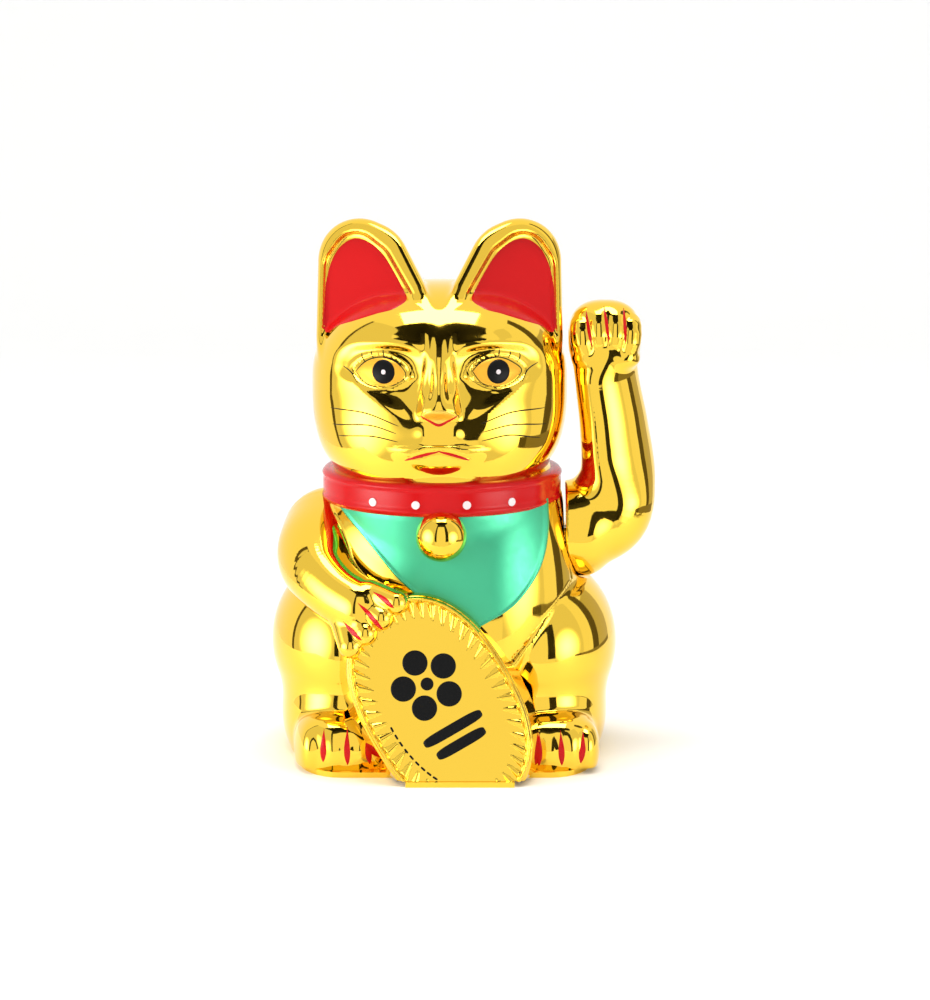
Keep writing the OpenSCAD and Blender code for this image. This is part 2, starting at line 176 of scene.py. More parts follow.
def mirrored(points):
    """Points folded onto one side of the head's middle plane."""
    folded = points.copy()
    folded[:, 0] = np.abs(points[:, 0] - HEAD_X)
    return folded


# ---------------------------------------------------------------- the figure's shape
EAR_CORNERS = [(29.2, 156), (28.8, 182.4), (26.4, 181.4), (19.8, 169.3), (15.5, 158)]
EAR_ROUND = 15.9
CUP_CORNERS = [(33.8, 146), (33, 180), (30.3, 184), (26, 181), (18.4, 168.7), (10.6, 155)]
CUP_ROUND = 9.2


def ear_floor(points):
    """Y of the ear's hollow front, which leans back and faces a little outwards."""
    return -26.5 + 0.45 * points[:, 0] + 0.4 * (points[:, 2] - 165)


def ear(points):
    """One ear: an upright plate with a hollow front."""
    x, z = points[:, 0], points[:, 2]
    floor = ear_floor(points)
    outline = polygon_distance(x, z, EAR_CORNERS) - EAR_ROUND
    front = (floor - 3.2) - points[:, 1]
    back = points[:, 1] - (floor + 21 - 0.36 * (z - 165))
    plate = overlap(overlap(outline, front * 0.86, 4.0), back * 0.86, 10.0)
    inner = polygon_distance(x, z, CUP_CORNERS) - CUP_ROUND
    cup = overlap(inner, (points[:, 1] - floor) * 0.86, 2.5)
    return carve(plate, cup, 1.6)


def face_relief(points):
    """How far the brow, eyes, nose and mouth push the face forward."""
    x = np.abs(points[:, 0] - HEAD_X)
    z = points[:, 2]
    # The hollows round the eyes, and the brow over them.
    half_high = np.where(z > 148, 8.6, np.clip(12 - 0.55 * (x - 20), 6, 18))
    socket = oval_reach(x, z, (20, 148), (17.5, half_high), 2.4)
    relief = -3.0 * (1 - ramp(socket, 0.6, 1.06 + 0.14 * ramp(148 - z, 0, 6)))
    brow_height = 156.6 - 0.016 * (x - 14) ** 2
    relief += 0.7 * hump(z, brow_height, 2.4) * ramp(x, 4, 9) * (1 - ramp(x, 24, 32))
    # The nose widens downwards, with a groove along each flank and a round tip.
    share = (158 - z) / 23
    half = 3.8 + 2.8 * np.clip(share, 0, 1.1) ** 1.5
    length = ramp(z, 128.6, 133.8) * (1 - ramp(z, 147, 165))
    height = 2.2 + 1.4 * np.clip(share, 0, 1)
    nose = height * (1 - ramp(x, half - 1.8, half + 1.8))
    flank = -2.2 * hump(x, 0.66 * half, 0.3 * half) * ramp(z, 134, 141) * (1 - 0.6 * ramp(z, 143, 153))
    tip = 1.6 * hump(x, 0, 5.0) * hump(z, 135.2, 4.0)
    relief += length * (nose + flank + tip)
    # The eyeballs with their lids, and the inner corners of the eyes.
    eye = oval_reach(x, z, (21, 146.4), (9.6, 5.7), 1.75)
    relief += 2.3 * np.clip(1 - eye ** 2, 0, 1) ** 0.75 + 0.7 * hump(eye, 1.12, 0.15)
    relief += 0.9 * hump(x, 10.4, 2.0) * hump(z, 144.8, 1.3)
    # The lips, the muzzle over them, the pads of the whiskers and the line of the mouth.
    lips = oval_reach(x, z, (0, 119), (15.8, np.where(z > 119, 1.9, 7.8)), 1.8)
    relief += (1 + 0.04 * np.clip(119 - z, 0, 8)) * (1 - ramp(lips, 0.66, 1.2))
    relief += 2.6 * hump(x, 0, 12) * hump(z, 122.5, 8)
    relief += 0.5 * hump(x, 5.2, 2.6) * hump(z, 125.2, 2.4)
    mouth = hump(z, 119.2 - 0.27 * x, 0.7) * (1 - ramp(x, 11, 13))
    return relief - 0.35 * mouth


def head(points):
    """The head, its face worked in only where it faces forward."""
    relief = face_relief(points) * ramp(-points[:, 1], 8, 22)
    moved = points + relief[:, None] * np.array([0, 1.0, 0])
    side = mirrored(moved)
    shape = ellipsoid(moved, (HEAD_X, -1, 139), (47, 40.5, 36.6), 2.25)
    shape = join(shape, ellipsoid(side, (20, -5, 121.5), (23.6, 31, 19.5), 2.2), 9)
    shape = join(shape, ellipsoid(moved, (HEAD_X, -14, 122), (33, 28.6, 26), 2.7), 9)
    return join(shape, ear(mirrored(points)), 2.0)


def neck(points):
    """A column inside the collar that narrows into the chest and into the head."""
    flat = points.copy()
    flat[:, 2] = 0
    inset = 0.13 * np.maximum(93 - points[:, 2], 0) + 0.5 * np.maximum(points[:, 2] - 105, 0)
    column = ellipsoid(flat, (0.8, -1, 0), (41.3, 40.3, 60)) + inset
    return np.maximum(column, np.abs(points[:, 2] - 94) - 26)


HAUNCHES = [(-34, 41), (37, 40)]
VEST_CORNERS = [(0, 34), (27.2, 38.5), (45.8, 63.5), (49, 67), (47.2, 76), (45, 92), (44, 100), (0, 100)]


def vest(points):
    """The fold of the chest under the raised arm, which ends in an edge over the haunch."""
    layer = ellipsoid(points, (14, 0, 56), (38.5, 42, 72))
    outline = polygon_distance(points[:, 0], points[:, 2], VEST_CORNERS) - 1.5
    return overlap(layer, outline, 3.0)


def torso(points):
    """The belly, the lap behind the coin, the vest and the haunches."""
    shape = ellipsoid(points, (0, 2, 52), (52, 43, 74))
    lap = ellipsoid(points, (14, -4, 26), (26, 34.5, 22), 2.4)
    shape = join(join(shape, lap, 2), vest(points), 5)
    for x, z in HAUNCHES:
        haunch = ellipsoid(points, (x, 3, z), (29, 39, 32))
        hip = ellipsoid(points, (x, 4, 15), (25.5, 39, 26), 2.3)
        shape = join(shape, join(haunch, hip, 4), 1.6)
    return shape


FEET = [
    (-35.2, 18.4, [-46.6, -38.0, -29.8, -21.4]),
    (41.4, 16.2, [31.6, 39.9, 47.6, 53.6]),
]


def feet(points):
    """Two feet, given by their middle, half width and the middles of their toes."""
    shape = None
    for middle, reach, toes in FEET:
        foot = ellipsoid(points, (middle, -24, 7), (reach, 22.5, 14.6), 2.8)
        for x in toes:
            lean = (x - middle) / 10
            toe = ellipsoid(points, (x, -36.5 + 1.2 * lean ** 2, 7.6), (4.9, 10.6, 9.8), 2.2)
            foot = join(foot, toe, 1.4)
        shape = foot if shape is None else np.minimum(shape, foot)
    return shape


HOLDING_ARM = [
    (-40.5, 3, 79, 18.6), (-43.6, -14, 74.5, 16.1), (-42.5, -28, 70, 12.1),
    (-35.5, -37.5, 64.8, 10.8), (-28.5, -43, 61.5, 10.7),
]
HOLDING_FINGERS = [(-15.2, 65.2), (-20.7, 59.6), (-26.4, 53.9), (-31.8, 49.2)]


def holding_arm(points):
    """The arm that holds the coin, with four fingers over its edge."""
    shape = limb(points, HOLDING_ARM, 0.4, 36)
    for x, z in HOLDING_FINGERS:
        start = (-29 + 0.55 * (x + 23.5), -44.5, 61.5 + 0.62 * (z - 57))
        shape = join(shape, rod(points, start, (x, -52.4, z), 5.6, 4.3), 1.3)
    return shape


def figure(points):
    """The whole plated body, with the round pocket that the raised arm turns in."""
    body = join(torso(points), neck(points), 2)
    shape = join(head(points), body, 2.5)
    shape = join(shape, feet(points), 1.4)
    shape = join(shape, holding_arm(points), 1.2)
    around = np.hypot(points[:, 1] - PIVOT[1], points[:, 2] - PIVOT[2])
    pocket = np.maximum(around - POCKET_RADIUS, (ROOT_X - POCKET_GAP) - points[:, 0])
    return carve(shape, pocket, 0.6)


# ---------------------------------------------------------------- the raised arm's shape
FOREARM = [
    (54, 0, 83.3, 15.8), (62, 0, 88, 15.6), (65.8, -0.5, 101, 14.2), (64.6, -1.5, 120, 12.8),
    (61.8, -2.5, 138, 11.8), (60.6, -3.5, 147, 11.6),
]
FINGERS = [(52.4, 163.6, 4.5), (58.2, 166.4, 4.2), (64.2, 166.2, 4.1), (69.6, 163.8, 3.9)]
PALM_X = 60.6


def turned_forearm(points):
    """Points moved so that the forearm's flat side faces a little outwards."""
    turned = points.copy()
    share = ramp(points[:, 2], 92, 112) * (1 - ramp(points[:, 2], 138, 150))
    turned[:, 1] -= 0.4 * share * (points[:, 0] - PALM_X)
    return turned


def raised_arm(points):
    """The arm, with a round root that turns in the shoulder, a palm, four fingers and two pads."""
    around = np.hypot(points[:, 1] - PIVOT[1], points[:, 2] - PIVOT[2])
    root = overlap(around - ROOT_RADIUS, points[:, 0] - 58, 7)
    shape = join(root, limb(turned_forearm(points), FOREARM, 0.4, 36), 7)
    shape = overlap(shape, ROOT_X - points[:, 0], 0.8)
    shape = join(shape, ellipsoid(points, (PALM_X, -2.5, 155), (13.4, 11, 13.4), 2.5), 3)
    for x, top, radius in FINGERS:
        middle = PALM_X + 0.86 * (x - PALM_X)
        curl = [
            (middle, 0, top - 7, radius), (x, -7.5, top - radius, radius),
            (x, -11.6, top - 9.5, radius - 0.2), (middle, -10.5, top - 14.5, radius - 0.8),
        ]
        shape = join(shape, limb(points, curl, 1, 8), 0.8)
    for pad in (-5.6, 6.4):
        shape = join(shape, ellipsoid(points, (PALM_X + pad, -8.6, 147.6), (6.4, 6.0, 4.2)), 2)
    return shape


# ---------------------------------------------------------------- the coin's shape
COIN_CENTRE = np.array([0.2, -56.5, 28.5])
COIN_LEAN = math.radians(13)
COIN_TURN = math.radians(30)
COIN_WIDE, COIN_LONG, COIN_DEPTH = 27.2, 41.0, 16.0
COIN_ACROSS = np.array([math.cos(COIN_TURN), math.sin(COIN_TURN) * math.sin(COIN_LEAN),
                        math.sin(COIN_TURN) * math.cos(COIN_LEAN)])
COIN_ALONG = np.array([-math.sin(COIN_TURN), math.cos(COIN_TURN) * math.sin(COIN_LEAN),
                       math.cos(COIN_TURN) * math.cos(COIN_LEAN)])
COIN_OUT = np.cross(COIN_ACROSS, COIN_ALONG)
RIB_COUNT = 46


def coin_place(across, along, out):
    """Points on the coin, from its own axes to the frame's."""
    across, along, out = (np.asarray(v, float)[..., None] for v in (across, along, out))
    return COIN_CENTRE + across * COIN_ACROSS + along * COIN_ALONG + out * COIN_OUT


def coin_edge(across, along):
    """Distance inside (negative) or outside the coin's oval outline."""
    flat = np.stack([across, along, np.zeros_like(across)], -1)
    return ellipsoid(flat, (0, 0, 0), (COIN_WIDE, COIN_LONG, 1.0), 2.4)


def coin_relief(across, along):
    """Height of the coin's face: a rim, and ribs like wedges that narrow towards the middle."""
    inward = -coin_edge(across, along)
    rim = ramp(inward, 0.2, 1.0) * (1 - ramp(inward, 1.5, 2.2))
    turn = np.arctan2(along * COIN_WIDE / COIN_LONG, across) * RIB_COUNT / (2 * math.pi)
    narrow = np.maximum(inward - 2, 0) / 6.5
    wedge = np.maximum(0.5 + 0.5 * np.cos(2 * math.pi * turn) - narrow, 0)
    return -1.5 + 1.2 * rim + 1.1 * ramp(inward, 1.8, 2.8) * wedge


def coin(points):
    """The coin, which leans back against the lap and widens towards its back."""
    local = points - COIN_CENTRE
    across, along, out = (local @ axis for axis in (COIN_ACROSS, COIN_ALONG, COIN_OUT))
    edge = coin_edge(across, along)
    side = (edge + np.minimum(out, 0) * 3 / COIN_DEPTH) * 0.98
    top = (out - coin_relief(across, along)) * 0.75
    return overlap(overlap(side, top, 1.0), -COIN_DEPTH - 4 - out, 0.5)


# ---------------------------------------------------------------- from a field to a mesh

def slope_of(field, points, step):
    """The field's gradient, by central differences."""
    slope = np.empty_like(points)
    for axis in range(3):
        shift = np.zeros(3)
        shift[axis] = step
        slope[:, axis] = (field(points + shift) - field(points - shift)) / (2 * step)
    return slope


def unit_rows(vectors):
    """Each row, made one unit long."""
    return vectors / np.maximum(np.linalg.norm(vectors, axis=1), 1e-9)[:, None]


def settle(field, points, reach, held=None, rounds=3):
    """Moves points onto the field's surface; an axis in held stays where it is."""
    for _ in range(rounds):
        slope = slope_of(field, points, 0.03)
        if held is not None:
            slope[held] = 0
        size = np.maximum((slope ** 2).sum(1), 0.05)
        move = -(field(points) / size)[:, None] * slope
        length = np.maximum(np.linalg.norm(move, axis=1), 1e-9)
        points = points + move * np.minimum(1, reach / length)[:, None]
    return points


CORNERS = [(i, j, k) for i in (0, 1) for j in (0, 1) for k in (0, 1)]
CELL_EDGES = [
    (a, b) for a in CORNERS for b in CORNERS
    if a < b and sum(abs(u - v) for u, v in zip(a, b)) == 1
]


def sample(field, low, step, counts):
    """Field values on a grid, worked out only near the surface. counts are in blocks of 4 cells."""
    block = 4 * step
    axes = [low[a] + block * np.arange(counts[a] + 1) for a in range(3)]
    grid = np.stack(np.meshgrid(*axes, indexing="ij"), -1).reshape(-1, 3)
    coarse = field(grid).reshape([c + 1 for c in counts])
    near = np.abs(coarse) < 1.25 * block
    blocks = np.zeros(counts, bool)
    for i, j, k in CORNERS:
        blocks |= near[i:counts[0] + i, j:counts[1] + j, k:counts[2] + k]
    cells = blocks.repeat(4, 0).repeat(4, 1).repeat(4, 2)
    wanted = np.zeros([4 * c + 1 for c in counts], bool)
    for i, j, k in CORNERS:
        wanted[i:cells.shape[0] + i, j:cells.shape[1] + j, k:cells.shape[2] + k] |= cells
    nearest = [np.minimum((np.arange(4 * c + 1) + 2) // 4, c) for c in counts]
    values = coarse[np.ix_(*nearest)].astype(float)
    spots = np.argwhere(wanted)
    values[wanted] = field(low + spots * step)
    return values


def skin(field, low, high, step):
    """A quad mesh of the field's surface in a box. It is open where the box cuts the surface."""
    low = np.asarray(low, float)
    high = np.asarray(high, float)
    counts = np.ceil((high - low) / (4 * step)).astype(int)
    values = sample(field, low, step, counts)
    inside = values < 0
    shape = np.array(values.shape) - 1
    total = np.zeros(shape, int)
    for i, j, k in CORNERS:
        total += inside[i:shape[0] + i, j:shape[1] + j, k:shape[2] + k]
    cells = np.argwhere((total > 0) & (total < 8))
    index = np.full(shape, -1)
    index[tuple(cells.T)] = np.arange(len(cells))
    place_sum = np.zeros((len(cells), 3))
    crossings = np.zeros(len(cells))
    for a, b in CELL_EDGES:
        va = values[tuple((cells + a).T)]
        vb = values[tuple((cells + b).T)]
        cut = (va < 0) != (vb < 0)
        share = np.where(cut, va / np.where(cut, va - vb, 1), 0)
        spot = np.array(a) + share[:, None] * (np.array(b) - np.array(a))
        place_sum += np.where(cut[:, None], spot, 0)
        crossings += cut
    points = low + (cells + place_sum / crossings[:, None]) * step
    quads = []
    for axis in range(3):
        u, v = (axis + 1) % 3, (axis + 2) % 3
        lower = np.moveaxis(inside, axis, 0)[:-1]
        upper = np.moveaxis(inside, axis, 0)[1:]
        edges = np.argwhere(np.moveaxis(lower != upper, 0, axis))
        edges = edges[(edges[:, u] > 0) & (edges[:, v] > 0)]
        edges = edges[(edges[:, u] < shape[u]) & (edges[:, v] < shape[v])]
        ring = []
        for du, dv in ((1, 1), (0, 1), (0, 0), (1, 0)):
            cell = edges.copy()
            cell[:, u] -= du
            cell[:, v] -= dv
            ring.append(index[tuple(cell.T)])
        ring = np.stack(ring, 1)
        out = inside[tuple(edges.T)]
        ring[~out] = ring[~out][:, ::-1]
        quads.append(ring)
    return points, np.concatenate(quads)


def make_mesh(name, points, faces, normals=None):
    """A Blender object from points in drawing units."""
    mesh = bpy.data.meshes.new(name)
    mesh.from_pydata((np.asarray(points) * UNIT).tolist(), [], [list(map(int, f)) for f in faces])
    mesh.polygons.foreach_set("use_smooth", [True] * len(mesh.polygons))
    if normals is not None:
        mesh.normals_split_custom_set_from_vertices(normals.tolist())
    mesh.update()
    piece = bpy.data.objects.new(name, mesh)
    bpy.context.scene.collection.objects.link(piece)
    return piece


def open_loops(faces):
    """Edges used by one face only, in that face's direction."""
    ends = np.stack([faces, np.roll(faces, -1, 1)], 2).reshape(-1, 2)
    key = np.sort(ends, 1)
    _, first, count = np.unique(key, axis=0, return_index=True, return_counts=True)
    return ends[first[count == 1]]


LIP = 1.6


def shell_piece(name, field, low, high, step, cuts):
    """A skin cut flat at each (axis, height) in cuts, with a lip turned in along each cut."""
    points, faces = skin(field, low, high, step)
    rim = open_loops(faces)
    edge_points = np.unique(rim)
    held = np.zeros(points.shape, bool)
    for axis, height in cuts:
        near = edge_points[np.abs(points[edge_points, axis] - height) < 1.01 * step]
        points[near, axis] = height
        held[near, axis] = True
    points = settle(field, points, 0.6 * step, held)
    normals = unit_rows(slope_of(field, points, 0.1))
    inward = points[edge_points].copy()
    turn = normals[edge_points].copy()
    turn[held[edge_points]] = 0
    inward -= LIP * unit_rows(turn)
    lip_of = np.full(len(points), -1)
    lip_of[edge_points] = len(points) + np.arange(len(edge_points))
    walls = np.stack([rim[:, 1], rim[:, 0], lip_of[rim[:, 0]], lip_of[rim[:, 1]]], 1)
    all_points = np.concatenate([points, inward])
    all_normals = np.concatenate([normals, normals[edge_points]])
    return make_mesh(name, all_points, np.concatenate([faces, walls]), all_normals)


# ---------------------------------------------------------------- materials

def noise(mat, scale, detail):
    """The strength of a noise texture in the piece's own space."""
    nodes = mat.node_tree.nodes
    where = nodes.new("ShaderNodeTexCoord")
    cloud = nodes.new("ShaderNodeTexNoise")
    cloud.inputs["Scale"].default_value = scale
    cloud.inputs["Detail"].default_value = detail
    mat.node_tree.links.new(where.outputs["Object"], cloud.inputs["Vector"])
    return cloud.outputs["Fac"]


def add_tint(mat, shader, colour, tint):
    """Darkens the colour in soft clouds, by up to the given share."""
    links = mat.node_tree.links
    mix = mat.node_tree.nodes.new("ShaderNodeMix")
    mix.data_type = "RGBA"
    mix.inputs["A"].default_value = (*colour, 1)
    mix.inputs["B"].default_value = (*[c * (1 - tint) for c in colour], 1)
    links.new(noise(mat, 18, 3), mix.inputs["Factor"])
    links.new(mix.outputs["Result"], shader.inputs["Base Color"])


def add_specks(mat, shader, roughness, specks, size):
    """Roughens the finish in small spots."""
    links = mat.node_tree.links
    spread = mat.node_tree.nodes.new("ShaderNodeMapRange")
    spread.inputs["From Min"].default_value = 0.35
    spread.inputs["From Max"].default_value = 0.75
    spread.inputs["To Min"].default_value = roughness
    spread.inputs["To Max"].default_value = roughness + specks
    links.new(noise(mat, size, 4), spread.inputs["Value"])
    links.new(spread.outputs["Result"], shader.inputs["Roughness"])


def add_wave(mat, shader, height, size):
    """Makes the surface very slightly uneven, as plated plastic is."""
    links = mat.node_tree.links
    bump = mat.node_tree.nodes.new("ShaderNodeBump")
    bump.inputs["Strength"].default_value = 1
    bump.inputs["Distance"].default_value = height
    links.new(noise(mat, size, 2), bump.inputs["Height"])
    links.new(bump.outputs["Normal"], shader.inputs["Normal"])


def material(name, colour, metallic=0.0, roughness=0.3, coat=0.0, specks=0.0, speck_size=60.0,
             wave=0.0, wave_size=12.0, tint=0.0, shine=0.5):
    """A procedural finish: tint varies the colour, specks the roughness, wave the surface."""
    mat = bpy.data.materials.new(name)
    mat.use_nodes = True
    shader = mat.node_tree.nodes["Principled BSDF"]
    shader.inputs["Base Color"].default_value = (*colour, 1)
    shader.inputs["Metallic"].default_value = metallic
    shader.inputs["Roughness"].default_value = roughness
    shader.inputs["Specular IOR Level"].default_value = shine
    shader.inputs["Coat Weight"].default_value = coat
    shader.inputs["Coat Roughness"].default_value = 0.05
    if tint:
        add_tint(mat, shader, colour, tint)
    if specks:
        add_specks(mat, shader, roughness, specks, speck_size)
    if wave:
        add_wave(mat, shader, wave, wave_size)
    return mat


gold = material("gold_plating", (0.93, 0.61, 0.065), 1.0, 0.03, specks=0.05, tint=0.03,
                wave=0.00002, wave_size=140)
red = material("red_lacquer", (0.52, 0.005, 0.006), 0.0, 0.16, specks=0.1, tint=0.15, shine=0.18)
white = material("white_paint", (0.7, 0.62, 0.62), 0.0, 0.35, specks=0.1, tint=0.05)
black = material("black_paint", (0.004, 0.004, 0.004), 0.0, 0.35, specks=0.15, tint=0.3, shine=0.12)
satin_gold = material("satin_gold", (0.93, 0.6, 0.1), 1.0, 0.32, specks=0.1, tint=0.05)
amber = material("amber_paint", (0.86, 0.43, 0.035), 0.35, 0.3, specks=0.1, tint=0.1, shine=0.2)
green = material("green_lacquer", (0.068, 0.53, 0.28), 0.75, 0.36, coat=0.15, specks=0.1, speck_size=400,
                 tint=0.25)


def dress(piece, body, mat, slot, *nodes):
    """Gives a piece its body and material, and hides the CAD nodes it stands for. The slot argument is not used.
    """
    piece.data.materials.append(mat)
    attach(piece, body)
    if nodes:
        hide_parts(*nodes)


# ---------------------------------------------------------------- shells
# A step is the size of the grid's cells. A seam is a thin line between two skins.
BODY_STEP = 0.8
ARM_STEP = 0.6
COIN_STEP = 0.45
BODY_SEAM = 0.08
ARM_SEAM = 0.06


def from_seam(low, high, step):
    """The front box's low corner, moved so that a whole number of blocks ends at the seam."""
    moved = low.copy()
    moved[1] = high[1] - math.ceil((high[1] - low[1]) / (4 * step)) * 4 * step
    return moved


def body_skins():
    """The body's front and rear skins."""
    low = np.array([-70, -66, BASE_TOP])
    high = np.array([70, SEAM_Y, 204])
    front = shell_piece("front_shell_skin", figure, from_seam(low, high, BODY_STEP), high, BODY_STEP,
                        [(1, SEAM_Y - BODY_SEAM), (2, BASE_TOP)])
    dress(front, FIGURE, gold, "gold_plating", "front_shell")
    rear = shell_piece("rear_shell_skin", figure, [-70, SEAM_Y, BASE_TOP], [70, 54, 204], BODY_STEP,
                       [(1, SEAM_Y + BODY_SEAM), (2, BASE_TOP)])
    dress(rear, FIGURE, gold, "gold_plating", "rear_shell")


def coin_skin():
    """The coin's skin, cut flat where it stands on the base."""
    low, high = place("koban")
    skin_piece = shell_piece("coin_skin", coin, [low[0] - 2, low[1] - 2, BASE_TOP], high + 2,
                             COIN_STEP, [(2, BASE_TOP)])
    dress(skin_piece, FIGURE, gold, "gold_plating", "koban")


def arm_skins():
    """The raised arm's front and rear skins."""
    low = np.array([ROOT_X - 1, -24, 62])
    high = np.array([84, PIVOT[1], 170])
    front = shell_piece("arm_front_skin", raised_arm, from_seam(low, high, ARM_STEP), high, ARM_STEP,
                        [(1, PIVOT[1] - ARM_SEAM)])
    dress(front, ARM, gold, "gold_plating", "arm_front_half")
    rear = shell_piece("arm_rear_skin", raised_arm, [ROOT_X - 1, PIVOT[1], 62], [84, 24, 170], ARM_STEP,
                       [(1, PIVOT[1] + ARM_SEAM)])
    dress(rear, ARM, gold, "gold_plating", "arm_rear_half")


body_skins()
coin_skin()
arm_skins()


# ---------------------------------------------------------------- collar, bell and bib
COLLAR_CENTRE = np.array([0.8, -1, 100.5])
COLLAR_REACH = np.array([42.2, 41.2])


def collar_profile():
    """The band's section, as (out, up): a rounded band with a bead along each edge."""
    section = []
    for step in range(25):
        t = step / 24
        up = -6.2 + 12.4 * t
        bulge = 1.9 * math.sqrt(max(0, 1 - (up / 6.2) ** 2)) ** 0.5
        bead = 0.6 * math.exp(-((up - 4.4) / 0.9) ** 2) + 0.7 * math.exp(-((up + 4.2) / 0.9) ** 2)
        section.append((bulge + bead, up))
    return [(-2, -6.2)] + section + [(-2, 6.2)]


def ring_piece(name, section, centre, reach, count=220):
    """A section swept round an oval."""
    points = []
    for i in range(count):
        angle = 2 * math.pi * i / count
        for out, up in section:
            points.append((centre[0] + (reach[0] + out) * math.cos(angle),
                           centre[1] + (reach[1] + out) * math.sin(angle), centre[2] + up))
    width = len(section)
    faces = []
    for i in range(count):
        for j in range(width - 1):
            a, b = i * width + j, (i + 1) % count * width + j
            faces.append((a, b, b + 1, a + 1))
    return make_mesh(name, points, faces)


collar = ring_piece("collar_band", collar_profile(), COLLAR_CENTRE, COLLAR_REACH)
dress(collar, FIGURE, red, "red_lacquer", "collar")


def ball_piece(name, centre, radius, rings=48, segments=96):
    """A round ball."""
    points = [(centre[0], centre[1], centre[2] - radius)]
    for i in range(1, rings):
        down = math.pi * i / rings
        for j in range(segments):
            angle = 2 * math.pi * j / segments
            points.append((centre[0] + radius * math.sin(down) * math.cos(angle),
                           centre[1] + radius * math.sin(down) * math.sin(angle),
                           centre[2] - radius * math.cos(down)))
    points.append((centre[0], centre[1], centre[2] + radius))
    last = len(points) - 1
    faces = []
    for j in range(segments):
        k = (j + 1) % segments
        faces.append((0, 1 + k, 1 + j))
        top = 1 + (rings - 2) * segments
        faces.append((last, top + j, top + k))
        for i in range(rings - 2):
            a = 1 + i * segments
            faces.append((a + j, a + k, a + segments + k, a + segments + j))
    return make_mesh(name, points, faces)


BELL_CENTRE = (0.8, -43, 87.6)
bell = ball_piece("bell_ball", BELL_CENTRE, 9.2)
dress(bell, FIGURE, gold, "gold_plating", "bell")


def front_of(field, flat):
    """The frontmost points of a shape at the given (x, z) points."""
    flat = np.asarray(flat, float)
    points = np.stack([flat[:, 0], np.full(len(flat), -80.0), flat[:, 1]], 1)
    for _ in range(90):
        points[:, 1] += np.clip(0.8 * field(points), -2, 6)
    return points


BIB_LEFT = [(-39.5, 97.5), (-30, 87.5), (-12.3, 68.5), (2, 58.6), (14.9, 54.2)]
BIB_RIGHT = [(39.8, 97.5), (40, 88), (37.6, 76), (29, 63), (14.9, 54.2)]


def bib_piece(rows=70, columns=90):
    """The bib: a sheet laid on the chest between two edges, with a raised hem."""
    share = np.linspace(0, 0.985, rows)
    left = curve_through(BIB_LEFT, share)
    right = curve_through(BIB_RIGHT, share)
    across = np.linspace(0, 1, columns)
    flat = left[:, None] + across[None, :, None] * (right - left)[:, None]
    points = front_of(figure, flat.reshape(-1, 2))
    normals = unit_rows(slope_of(figure, points, 0.4))
    half = np.linalg.norm(right - left, axis=1)[:, None] / 2
    inset = half * (1 - np.abs(2 * across - 1))[None, :]
    inset = np.minimum(inset, 52 * (1 - share)[:, None]).ravel()
    height = 1.0 * np.clip(inset / 0.7, 0, 1) ** 0.5 - 0.35 + 0.5 * np.exp(-((inset - 1.3) / 0.7) ** 2)
    points = points + normals * height[:, None]
    faces = []
    for i in range(rows - 1):
        for j in range(columns - 1):
            a = i * columns + j
            faces.append((a, a + columns, a + columns + 1, a + 1))
    return make_mesh("bib_cloth", points, faces)


bib = bib_piece()
dress(bib, FIGURE, green, "green_lacquer", "bib")

# ---------------------------------------------------------------- paint
# Painted shapes are given as (x, z) points seen from the front, and laid on the skin behind them.

def laid_on(field, flat, height):
    """Points at the given heights over a shape's front."""
    points = front_of(field, flat)
    normals = unit_rows(slope_of(field, points, 0.3))
    return points + normals * np.asarray(height)[:, None]


def filled(field, outline, lift, rings=10):
    """Points and faces of a patch of paint inside an outline."""
    outline = np.array(outline, float)
    middle = outline.mean(0)
    count = len(outline)
    flat = [middle + (outline - middle) * (1 - ring / rings) for ring in range(rings)]
    height = np.full(rings * count + 1, lift)
    height[:count] = -0.1
    points = laid_on(field, np.concatenate(flat + [[middle]]), height)
    faces = []
    for j in range(count):
        k = (j + 1) % count
        for ring in range(rings - 1):
            a, b = ring * count, (ring + 1) * count
            faces.append((a + j, a + k, b + k, b + j))
        faces.append(((rings - 1) * count + j, (rings - 1) * count + k, rings * count))
    return points, faces


def stroke(field, path, width, lift, steps=24, point=0.5, skew=1.0):
    """Points and faces of a brush stroke. point sharpens its ends; skew moves its widest place on."""
    share = np.linspace(0, 1, steps)
    middle = curve_through(path, share)
    along = np.gradient(middle, axis=0)
    side = np.stack([-along[:, 1], along[:, 0]], 1)
    side /= np.linalg.norm(side, axis=1)[:, None]
    half = 0.5 * width * np.maximum(np.sin(math.pi * share ** skew), 0.02) ** point
    rows = [middle + side * (half * k)[:, None] for k in (-1, -0.6, 0.6, 1)]
    height = np.concatenate([np.full(steps, h) for h in (-0.05, lift, lift, -0.05)])
    points = laid_on(field, np.concatenate(rows), height)
    faces = []
    for row in range(3):
        for i in range(steps - 1):
            a = row * steps + i
            faces.append((a, a + 1, a + 1 + steps, a + steps))
    return points, faces


def paint(name, body, mat, parts):
    """One piece from several patches and strokes."""
    points, faces, count = [], [], 0
    for part_points, part_faces in parts:
        points.append(part_points)
        faces += [tuple(index + count for index in face) for face in part_faces]
        count += len(part_points)
    piece = make_mesh(name, np.concatenate(points), faces)
    piece.data.materials.append(mat)
    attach(piece, body)
    return piece


def flipped(path):
    """The same path on the head's other side."""
    return [(2 * HEAD_X - x, z) for x, z in path]


def smooth_outline(corners, count=72):
    """A closed smooth outline through corners."""
    loop = corners[-2:] + corners + corners[:2]
    curve = curve_through(loop, np.linspace(0, 1, 4 * count))
    spans = np.linalg.norm(np.diff(np.array(loop), axis=0), axis=1)
    start = spans[:2].sum() / spans.sum()
    end = 1 - spans[-1] / spans.sum()
    share = np.linspace(start, end, count, endpoint=False)
    return curve_through(loop, share)


